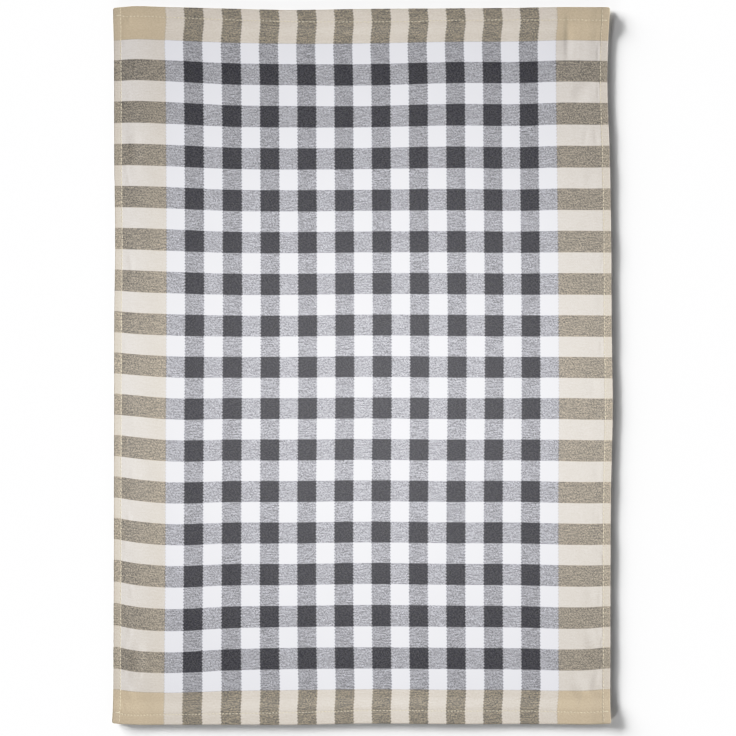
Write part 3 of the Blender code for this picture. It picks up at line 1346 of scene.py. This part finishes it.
@dataclass(frozen=True)
class ThreadFinish:
    """Cream sewing thread of two twisted strands."""

    twist: float = 1.1
    stretch: tuple[float, float, float] = (1.0, 3.0, 1.0)
    grain: float = 0.3
    # Painted shade: the thread is darker in the groove between its two strands than on their crowns
    ply_painted_shade: float = 0.25
    ply_groove_painted_dark: float = 0.78
    ply_rise: float = 0.06
    ply_gloss: float = -0.1
    roughness: float = 0.5
    shine: float = 0.3

    def build(self, effects: YarnEffects) -> bpy.types.Material:
        """Makes the material.

        Args:
            effects: The shared node groups.

        Returns:
            The material, which reads the attribute strand: millimetres along, turns round.
        """
        material, wires, shader = new_material("sewing_thread")
        strand, (along, around, _) = wires.attribute("strand")
        turns = wires.math("MULTIPLY_ADD", along, 1.0 / self.twist, around)
        ply = wires.math("ABSOLUTE", wires.math("SINE", wires.math("MULTIPLY", turns, math.tau)))
        grain = wires.group(effects.grain, Place=strand, Stretch=self.stretch, Detail=2.0)
        # Painted shade: darker in the groove between the strands, where ply is 0
        shade = wires.math("MULTIPLY_ADD", ply, self.ply_painted_shade, self.ply_groove_painted_dark)
        shade = wires.math("MULTIPLY_ADD", grain.outputs["Streak"], self.grain, shade)
        wires.feed(shader.inputs["Base Color"], wires.scaled(Yarn.CREAM.value, shade))
        rough = wires.math("MULTIPLY_ADD", ply, self.ply_gloss, self.roughness)
        wires.feed(shader.inputs["Roughness"], rough)
        wires.feed(shader.inputs["Normal"], wires.bump(wires.math("MULTIPLY", ply, self.ply_rise)))
        shader.inputs["Specular IOR Level"].default_value = self.shine
        return material


@dataclass(frozen=True)
class FloorFinish:
    """Plain pale painted floor."""

    tone: float = 0.97
    roughness: float = 0.9

    def build(self) -> bpy.types.Material:
        """Makes the material.

        Returns:
            The material.
        """
        material, _, shader = new_material("pale_floor")
        shader.inputs["Base Color"].default_value = (self.tone, self.tone, self.tone, 1.0)
        shader.inputs["Roughness"].default_value = self.roughness
        shader.inputs["Specular IOR Level"].default_value = 0.0
        return material


@dataclass
class TowelCloth:
    """The cloth itself: a closed thin sheet whose two sides meet round the folded edges."""

    form: ClothForm
    finish: CottonFinish = field(default_factory=CottonFinish)
    fold_lines: int = 5
    beside: float = 46.0
    first_gap: float = 0.55
    growth_across: float = 1.035
    growth_along: float = 1.07
    gap_across: float = 6.0
    gap_along: float = 2.6
    border_ease: float = 6.0
    thin_from: float = -180.0
    thin_reach: float = 36.0
    thin_range: float = 0.13
    thin_middle: float = 0.4
    cut_width: float = 464.0
    cut_length: float = 688.0
    map_margin: float = 0.004
    map_strip: float = 0.3

    def stations(self, half: float, hem: SideHem | EndHem, growth: float, gap: float) -> np.ndarray:
        """Places of the mesh's lines from one edge to the other, dense at the folds and hems.

        Args:
            half: Half the towel's size this way.
            hem: The hem at these edges.
            growth: How fast the lines spread past the hem.
            gap: How far apart they are in the middle.

        Returns:
            The places, rising.
        """
        turns = np.linspace(0.0, math.pi / 2.0, self.fold_lines)
        fold = (FOLD_REACH * (1.0 - np.cos(turns))).tolist()
        on_hem = hem.lines()
        past = growing_lines(on_hem[-1] + self.first_gap, self.beside, self.first_gap, growth)
        near = fold[:-1] + on_hem + past
        reach = half - near[-1]
        count = round(2.0 * reach / gap)
        low = [inset - half for inset in near[:-1]]
        middle = np.linspace(-reach, reach, count + 1).tolist()
        return np.array(low + middle + [-place for place in reversed(low)])

    def cover(self, side: Side, across: np.ndarray, along: np.ndarray) -> np.ndarray:
        """Share of the warp in what shows.

        Args:
            side: The side of the cloth.
            across: Places across the flat grid.
            along: Places along it.

        Returns:
            The share at each place: even in the field, uneven in the borders, more where turned.
        """
        if side is Side.UNDERSIDE:
            return np.full_like(across, UNDER_COVER)
        table = np.array(BORDER_COVER)
        border = np.interp(along, table[:, 0], table[:, 1])
        turned = np.abs(across) > HALF_WIDTH - self.form.side_hem.width
        leftward = np.clip((self.thin_from - across) / self.thin_reach, 0.0, 1.0)
        border += self.thin_range * (self.thin_middle - leftward) * (across < 0.0)
        in_border = np.clip((np.abs(across) - WARP_REACH) / self.border_ease + 0.5, 0.0, 1.0)
        gain = np.where(across < 0.0, LEFT_TURNED_GAIN, TURNED_GAIN)
        return FACE_COVER + (border - FACE_COVER) * in_border + gain * turned

    def build(self, effects: YarnEffects) -> bpy.types.Object:
        """Builds the cloth and dresses it.

        Args:
            effects: The shared node groups.

        Returns:
            The cloth's object.
        """
        across = self.stations(HALF_WIDTH, self.form.side_hem, self.growth_across, self.gap_across)
        along = self.stations(HALF_LENGTH, self.form.end_hem, self.growth_along, self.gap_along)
        grid_x, grid_y = (part.ravel() for part in np.meshgrid(across, along))
        face = self.form.place(grid_x, grid_y, Side.FACE)
        under = self.form.place(grid_x, grid_y, Side.UNDERSIDE)
        faces, kept = self.quads(len(across), len(along))
        points = [np.stack([spot.x, spot.y, spot.z], axis=1) for spot in (face, under)]
        verts = np.concatenate([points[0], points[1][kept]]) * MM
        mesh = bpy.data.meshes.new("towel_cloth")
        mesh.from_pydata(verts.tolist(), [], faces.tolist())
        flat = [
            np.stack([spot.warp_place, spot.weft_place, self.cover(side, grid_x, grid_y)], axis=1)
            for spot, side in ((face, Side.FACE), (under, Side.UNDERSIDE))
        ]
        self.store(mesh, "flat_place", np.concatenate([flat[0], flat[1][kept]]))
        self.lay_out(mesh, len(faces) // 2)
        mesh.shade_smooth()
        mesh.materials.append(self.finish.build(effects))
        return new_object("towel_cloth", mesh)

    @staticmethod
    def quads(columns: int, rows: int) -> tuple[np.ndarray, np.ndarray]:
        """Faces of both sides of the sheet, which share the points of the outline.

        Args:
            columns: Lines across the grid.
            rows: Lines along it.

        Returns:
            The four-sided faces, those of the face side first, and which points of the
            underside's grid exist on their own.
        """
        top = np.arange(rows * columns).reshape(rows, columns)
        inner = np.zeros((rows, columns), dtype=bool)
        inner[1:-1, 1:-1] = True
        bottom = top.copy()
        bottom[inner] = rows * columns + np.arange(inner.sum())
        cells = []
        for grid, order in ((top, 1), (bottom, -1)):
            corners = [grid[:-1, :-1], grid[:-1, 1:], grid[1:, 1:], grid[1:, :-1]]
            cells.append(np.stack([corner.ravel() for corner in corners[::order]], axis=1))
        return np.concatenate(cells), inner.ravel()

    @staticmethod
    def store(mesh: bpy.types.Mesh, name: str, values: np.ndarray) -> None:
        """Stores a vector for each point of a mesh under a name."""
        layer = mesh.attributes.new(name, "FLOAT_VECTOR", "POINT")
        layer.data.foreach_set("vector", values.astype(np.float32).ravel())

    def lay_out(self, mesh: bpy.types.Mesh, face_count: int) -> None:
        """Lays the two sides out on one map: the face large, the underside in a strip below.

        Args:
            mesh: The cloth's mesh.
            face_count: How many faces the face side has, which come first.
        """
        points = np.empty(len(mesh.vertices) * 3)
        mesh.attributes["flat_place"].data.foreach_get("vector", points)
        corner = np.empty(len(mesh.loops), dtype=np.int32)
        mesh.loops.foreach_get("vertex_index", corner)
        flat = points.reshape(-1, 3)[corner]
        margin, strip = self.map_margin, self.map_strip
        u = margin + (flat[:, 1] / HALF_LENGTH + 1.0) / 2.0 * (1.0 - 2.0 * margin)
        v = (flat[:, 0] / HALF_WIDTH + 1.0) / 2.0
        on_face = np.arange(len(corner)) < face_count * QUAD_CORNERS
        face_v = strip + v * (1.0 - strip - margin)
        v = np.where(on_face, face_v, margin + v * (strip - 3.0 * margin))
        layer = mesh.uv_layers.new(name="OFBake")
        layer.data.foreach_set("uv", np.stack([u, v], axis=1).astype(np.float32).ravel())


@dataclass(frozen=True)
class StitchShape:
    """One stitch: a flattened tube that comes up out of the cloth and dives back into it.

    rings say where along the stitch each ring of the tube lies, swell how thick it is there,
    and arch how high it stands over the cloth.
    """

    radius: float = 0.38
    flatness: float = 0.7
    rounds: int = 8
    rings: tuple[float, ...] = (0.0, 0.14, 0.34, 0.66, 0.86, 1.0)
    swell: tuple[float, ...] = (0.45, 0.85, 1.0, 1.0, 0.85, 0.45)
    arch: tuple[float, ...] = (-0.3, -0.04, 0.1, 0.1, -0.04, -0.3)
    bedding: float = 0.12

    def turns(self) -> np.ndarray:
        """Share of a turn at which each point of a ring lies."""
        return np.arange(self.rounds) / self.rounds

    def lines(self, form: ClothForm, side: Side, starts: np.ndarray, stops: np.ndarray) -> np.ndarray:
        """Centre lines of stitches.

        Args:
            form: The cloth they lie on.
            side: The side of it.
            starts: Where they start in the flat grid, across and along.
            stops: Where they end.

        Returns:
            Three numbers for each ring of each stitch, in millimetres.
        """
        share = np.array(self.rings)[:, None]
        flat = (starts[:, None] + (stops - starts)[:, None] * share).reshape(-1, 2)
        spot = form.place(flat[:, 0], flat[:, 1], side)
        x, y, z = (part.reshape(-1, len(share)) for part in (spot.x, spot.y, spot.z))
        if side is Side.FACE:
            z = z + np.array(self.arch)
        else:
            z = np.maximum(z - self.bedding, self.radius * self.flatness)
        return np.stack([x, y, z], axis=2)

    def tubes(self, lines: np.ndarray, girth: np.ndarray) -> np.ndarray:
        """Points of the tubes round centre lines.

        Args:
            lines: The centre lines.
            girth: How much thicker than one thread each stitch looks.

        Returns:
            Three numbers for each point of each ring, in millimetres.
        """
        heading = lines[:, -1, :2] - lines[:, 0, :2]
        heading /= np.linalg.norm(heading, axis=1, keepdims=True)
        thick = girth[:, None, None] * np.array(self.swell)[:, None] * self.radius
        sideways = thick * np.cos(self.turns() * math.tau)
        upwards = thick * self.flatness * np.sin(self.turns() * math.tau)
        off_x = -heading[:, 1, None, None] * sideways
        off_y = heading[:, 0, None, None] * sideways
        return lines[:, :, None] + np.stack([off_x, off_y, upwards], axis=3)

    def faces(self, count: int) -> list[list[int]]:
        """Faces of closed tubes.

        Args:
            count: How many stitches there are.

        Returns:
            The walls and the two caps of every stitch.
        """
        size = len(self.rings) * self.rounds
        cells = []
        for start in range(0, count * size, size):
            for low in range(start, start + size - self.rounds, self.rounds):
                high = low + self.rounds
                for i in range(self.rounds):
                    j = (i + 1) % self.rounds
                    cells.append([low + i, high + i, high + j, low + j])
            cells.append(list(range(start, start + self.rounds)))
            cells.append(list(range(start + size - 1, start + size - self.rounds - 1, -1)))
        return cells


class Row(NamedTuple):
    """Stitches of one seam: their ends in the flat grid, across and along, and their girth."""

    starts: np.ndarray
    stops: np.ndarray
    girth: np.ndarray


@dataclass
class HemSewing:
    """Rows of stitches along the four hems, on one side of the cloth."""

    form: ClothForm
    side: Side
    shape: StitchShape = field(default_factory=StitchShape)
    side_pitch: float = 3.5
    top_pitch: float = 3.3
    bottom_pitch: float = 2.95
    gap: float = 0.5
    shake: float = 0.12
    wander: float = 0.12
    sway: float = 0.08
    ends_short: float = 1.4
    thin_girth: float = 0.7
    long_girth: float = 1.35
    seed: int = 5

    def pitch(self, edge: Edge) -> float:
        """Length of one stitch of this seam: each seam was sewn at its own feed."""
        ends = {Edge.TOP: self.top_pitch, Edge.BOTTOM: self.bottom_pitch}
        return ends.get(edge, self.side_pitch)

    def needle_places(
        self, half: float, corner: float, pitch: float, dice: np.random.Generator
    ) -> np.ndarray:
        """Where the needle goes in along one seam.

        Args:
            half: Half the seam's length.
            corner: How wide the thick corner is that one long stitch spans, 0 for none.
            pitch: Length of one stitch.
            dice: The random draws.

        Returns:
            The places, rising.
        """
        end = half - self.ends_short
        reach = half - corner if corner else end
        count = round(2.0 * reach / pitch)
        places = np.linspace(-reach, reach, count + 1)
        places[1:-1] += dice.uniform(-self.shake, self.shake, count - 1)
        return np.concatenate([[-end], places, [end]]) if corner else places

    def seam(self, edge: Edge, dice: np.random.Generator) -> Row:
        """Stitches of one seam, which sway a little from side to side.

        Args:
            edge: The edge it runs along.
            dice: The random draws.

        Returns:
            The stitches.
        """
        sign = 1.0 if edge in (Edge.RIGHT, Edge.TOP) else -1.0
        if edge in (Edge.LEFT, Edge.RIGHT):
            corner, line = 0.0, sign * (HALF_WIDTH - self.form.side_hem.seam)
            run = self.needle_places(HALF_LENGTH, corner, self.pitch(edge), dice)
        else:
            corner, line = self.form.side_hem.width, sign * (HALF_LENGTH - self.form.end_hem.seam)
            run = self.needle_places(HALF_WIDTH, corner, self.pitch(edge), dice)
        count = len(run) - 1
        sway = np.where(np.arange(count) % 2, self.sway, -self.sway)
        off = line + sway + dice.uniform(-self.wander, self.wander, (2, count))
        starts = np.stack([off[0], run[:-1] + self.gap / 2.0], axis=1)
        stops = np.stack([off[1], run[1:] - self.gap / 2.0], axis=1)
        girth = dice.uniform(self.thin_girth, 1.0, count)
        if corner:
            starts, stops = starts[:, ::-1], stops[:, ::-1]
            girth[[0, -1]] = self.long_girth
        return Row(starts, stops, girth)

    def build(self, name: str, material: bpy.types.Material) -> bpy.types.Object:
        """Builds all the stitches of this side as one mesh.

        Args:
            name: The piece's name.
            material: The thread's material.

        Returns:
            The stitches' object.
        """
        dice = np.random.default_rng(self.seed)
        rows = [self.seam(edge, dice) for edge in Edge]
        starts, stops, girth = (np.concatenate(part) for part in zip(*rows))
        lines = self.shape.lines(self.form, self.side, starts, stops)
        verts = self.shape.tubes(lines, girth).reshape(-1, 3) * MM
        mesh = bpy.data.meshes.new(name)
        mesh.from_pydata(verts.tolist(), [], self.shape.faces(len(lines)))
        self.mark(mesh, lines)
        mesh.shade_smooth()
        mesh.materials.append(material)
        return new_object(name, mesh)

    def mark(self, mesh: bpy.types.Mesh, lines: np.ndarray) -> None:
        """Stores how far along and round its stitch each point is, for the thread's twist.

        Args:
            mesh: The stitches' mesh.
            lines: Their centre lines.
        """
        gaps = np.linalg.norm(np.diff(lines, axis=1), axis=2)
        run = np.concatenate([np.zeros((len(lines), 1)), np.cumsum(gaps, axis=1)], axis=1)
        run += np.arange(len(lines))[:, None] * self.side_pitch
        along = np.repeat(run[:, :, None], self.shape.rounds, axis=2)
        around = np.broadcast_to(self.shape.turns(), along.shape)
        values = np.stack([along, around, np.zeros_like(along)], axis=3).reshape(-1, 3)
        TowelCloth.store(mesh, "strand", values)


class Lit(Enum):
    """What a lamp lights."""

    CLOTH = "cloth"
    FLOOR = "floor"


@dataclass(frozen=True)
class Lamp:
    """A soft studio lamp, a box if it has a height and a broad far source if it has none.

    elevation and azimuth are in degrees, azimuth turning from +X towards +Y.
    """

    name: str
    lit: Lit
    strength: float
    width: float
    height: float = 0.0
    place: tuple[float, float] = (0.0, 0.0)
    elevation: float = 90.0
    azimuth: float = 0.0

    def build(self, lit: list[bpy.types.Object]) -> bpy.types.Object:
        """Makes the lamp.

        Args:
            lit: The objects it lights.

        Returns:
            The lamp's object.
        """
        light = bpy.data.lights.new(self.name, "AREA" if self.height else "SUN")
        light.energy = self.strength
        if self.height:
            light.shape = "DISK"
            light.size = self.width
        else:
            light.angle = math.radians(self.width)
        lamp = new_object(self.name, light)
        lamp.location = (self.place[0] * MM, self.place[1] * MM, self.height or 1.0)
        tilt = math.radians(90.0 - self.elevation)
        lamp.rotation_euler = (0.0, tilt, math.radians(self.azimuth))
        lamp.visible_camera = False
        receivers = bpy.data.collections.new(f"lit_by_{self.name}")
        for obj in lit:
            receivers.objects.link(obj)
        lamp.light_linking.receiver_collection = receivers
        return lamp


@dataclass
class Studio:
    """Pale floor, soft lamps and the camera straight above."""

    floor_half: float = 20.0
    camera_place: tuple[float, float, float] = (5.11, -2.26, 2500.0)
    camera_reach: float = 100.0
    frame_width: float = 666.0
    sky: float = 0.015
    backdrop: float = 1.3
    lamps: tuple[Lamp, ...] = (
        Lamp("overhead", Lit.CLOTH, strength=3.55, width=0.25, height=0.601, place=(8.0, -35.0)),
        Lamp("key", Lit.CLOTH, strength=2.48, width=20.0, elevation=28.0, azimuth=8.0),
        Lamp("wash_left", Lit.FLOOR, strength=10.9, width=11.0, elevation=5.35, azimuth=163.0),
        Lamp("wash_middle", Lit.FLOOR, strength=10.9, width=11.0, elevation=5.35, azimuth=149.0),
        Lamp("wash_right", Lit.FLOOR, strength=10.9, width=11.0, elevation=5.35, azimuth=135.0),
        Lamp("wash_high", Lit.FLOOR, strength=0.31, width=12.0, elevation=25.0, azimuth=148.0),
        Lamp("near_left", Lit.FLOOR, strength=4.0, width=12.0, elevation=8.0, azimuth=235.0),
        Lamp("near_right", Lit.FLOOR, strength=1.8, width=12.0, elevation=8.0, azimuth=290.0),
        Lamp("far_right", Lit.FLOOR, strength=0.9, width=12.0, elevation=8.0, azimuth=30.0),
    )

    def build(self, pieces: list[bpy.types.Object]) -> None:
        """Builds the floor, the sky, the lamps and the camera.

        Args:
            pieces: The towel's pieces.
        """
        floor = self.build_floor()
        for lamp in self.lamps:
            lamp.build(pieces if lamp.lit is Lit.CLOTH else [floor])
        self.build_sky()
        self.build_camera()
        self.set_film()

    def build_floor(self) -> bpy.types.Object:
        """Makes the floor, one flat square.

        Returns:
            The floor's object.
        """
        corners = [(-1, -1), (1, -1), (1, 1), (-1, 1)]
        verts = [(x * self.floor_half, y * self.floor_half, 0.0) for x, y in corners]
        mesh = bpy.data.meshes.new("floor")
        mesh.from_pydata(verts, [], [(0, 1, 2, 3)])
        mesh.materials.append(FloorFinish().build())
        return new_object("floor", mesh)

    def build_sky(self) -> None:
        """Makes a white surrounding that lights the scene only faintly."""
        world = bpy.data.worlds.new("studio_surround")
        world.use_nodes = True
        bpy.context.scene.world = world
        wires = Wiring(world.node_tree)
        seen = wires.add("ShaderNodeLightPath").outputs["Is Camera Ray"]
        back = world.node_tree.nodes["Background"]
        wires.feed(back.inputs["Strength"], wires.between(seen, self.sky, self.backdrop))
        back.inputs["Color"].default_value = (1.0, 1.0, 1.0, 1.0)

    @staticmethod
    def set_film() -> None:
        """Lets the brightest tones roll off softly, as the camera's film does."""
        view = bpy.context.scene.view_settings
        view.view_transform = "Standard"
        view.use_curve_mapping = True
        mapping = view.curve_mapping
        mapping.white_level = (FILM_WHITE,) * 3
        curve = mapping.curves[3]
        for light, tone in FILM_CURVE:
            point = curve.points.new(light / FILM_WHITE, tone)
            point.handle_type = "VECTOR" if light < FILM_STRAIGHT else "AUTO"
        mapping.update()

    def build_camera(self) -> None:
        """Makes the camera, which looks straight down with +Y up in the picture."""
        data = bpy.data.cameras.new("camera")
        x, y, z = self.camera_place
        data.lens = data.sensor_width * z / self.frame_width
        data.clip_end = self.camera_reach
        camera = new_object("camera", data)
        camera.location = (x * MM, y * MM, z * MM)
        bpy.context.scene.camera = camera


def report_piece(piece: bpy.types.Object) -> None:
    """Logs the size of a piece."""
    triangles = sum(len(face.vertices) - 2 for face in piece.data.polygons)
    log.info("%s: %d points, %d triangles", piece.name, len(piece.data.vertices), triangles)


def main() -> None:
    """Builds the towel and its studio."""
    logging.basicConfig(level=logging.INFO, format="%(name)s: %(message)s")
    effects = YarnEffects()
    form = ClothForm()
    towel = TowelCloth(form)
    cloth = towel.build(effects)
    thread = ThreadFinish().build(effects)
    top_row = HemSewing(form, Side.FACE).build("face_stitches", thread)
    bottom_row = HemSewing(form, Side.UNDERSIDE).build("under_stitches", thread)
    pieces = [cloth, top_row, bottom_row]
    for piece in pieces:
        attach(piece, BODY)
        report_piece(piece)
    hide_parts(TOWEL_NODE)
    Studio().build(pieces)


if __name__ == "__main__":
    main()
